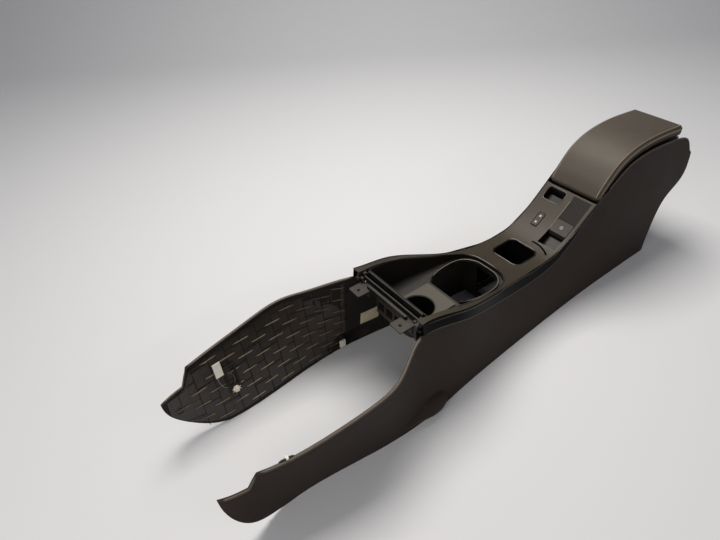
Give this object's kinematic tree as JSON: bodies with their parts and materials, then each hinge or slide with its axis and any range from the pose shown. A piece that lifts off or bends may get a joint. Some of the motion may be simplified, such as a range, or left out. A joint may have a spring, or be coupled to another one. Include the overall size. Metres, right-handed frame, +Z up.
{
  "type": "car center console",
  "caption": "Car center console with open front wings, tray and cup opening, lever opening, switch field and a hinged padded armrest over a storage bin.",
  "frame": {"origin": "middle of the overall length and width, at floor level", "axes": "+X rearward from the wings to the armrest, +Y the vehicle's right, +Z up"},
  "size_m": [1.3759, 0.3434, 0.3501],
  "materials": {
    "panel_skin": "grained soft-touch skin",
    "satin_black": "satin",
    "piano_black": "polished gloss",
    "grey_plastic": "fine matte grain",
    "black_plastic": "moulded, unpainted",
    "leather": "grained, stitched",
    "steel": "zinc plated",
    "bright_bead": "bright",
    "rubber": "moulded",
    "white_plastic": "natural",
    "foil": "crumpled foil"
  },
  "bodies": {
    "console": {"bin_mat": "rubber", "brake_housing": "black_plastic", "carrier_frame": "black_plastic", "connector_module": "grey_plastic", "cross_screws": "steel", "cubby_bin": "black_plastic", "cup_tray": "grey_plastic", "cup_well": "black_plastic", "deck_rail_left": "black_plastic", "deck_rail_right": "black_plastic", "edge_clip": "white_plastic", "finger_pocket": "black_plastic", "foil_patch": "foil", "front_bracket_left": "grey_plastic", "front_bracket_right": "grey_plastic", "front_cross_member": "black_plastic", "hinge_bracket": "steel", "hinge_pin": "steel", "latch_striker": "steel", "lever_ledge": "black_plastic", "lever_rail": "bright_bead", "push_clip_left": "white_plastic", "push_clip_right": "white_plastic", "rear_bracket": "steel", "rear_panel": "panel_skin", "rocker_housing": "black_plastic", "rocker_pivot_post": "black_plastic", "rubber_stop_left": "rubber", "rubber_stop_right": "rubber", "side_panel_left": "panel_skin", "side_panel_right": "panel_skin", "storage_bin": "black_plastic", "top_bezel": "satin_black", "trim_strip_left": "piano_black", "trim_strip_right": "piano_black", "well_liner": "black_plastic", "wing_bracket_left": "black_plastic", "wing_bracket_right": "black_plastic", "wing_tag": "white_plastic", "wrist_plate": "grey_plastic"},
    "lid": {"lid_shell": "black_plastic", "armrest_cushion": "leather"},
    "paddle": {"latch_paddle": "black_plastic"},
    "rocker": {"rocker_switch": "black_plastic"},
    "brake_switch": {"brake_switch": "grey_plastic"}
  },
  "joints": [
    {"name": "lid_hinge", "type": "hinge", "parent": "console", "child": "lid", "pos_m": [0.626, 0, 0.297], "axis": [0, 1, 0], "range_deg": [0, 70]},
    {"name": "latch_pull", "type": "hinge", "parent": "lid", "child": "paddle", "pos_m": [0.344, 0, 0.2425], "axis": [0, 1, 0], "range_deg": [0, 8], "stiffness_Nm_per_rad": 0.15, "springref_deg": -11.46},
    {"name": "rocker_tilt", "type": "hinge", "parent": "console", "child": "rocker", "pos_m": [0.242, 0.026, 0.184], "axis": [0, 1, 0], "range_deg": [-4, 4], "stiffness_Nm_per_rad": 0.3},
    {"name": "brake_pull", "type": "hinge", "parent": "console", "child": "brake_switch", "pos_m": [0.26, -0.037, 0.197], "axis": [0, 1, 0], "range_deg": [-3, 8], "stiffness_Nm_per_rad": 0.6}
  ]
}
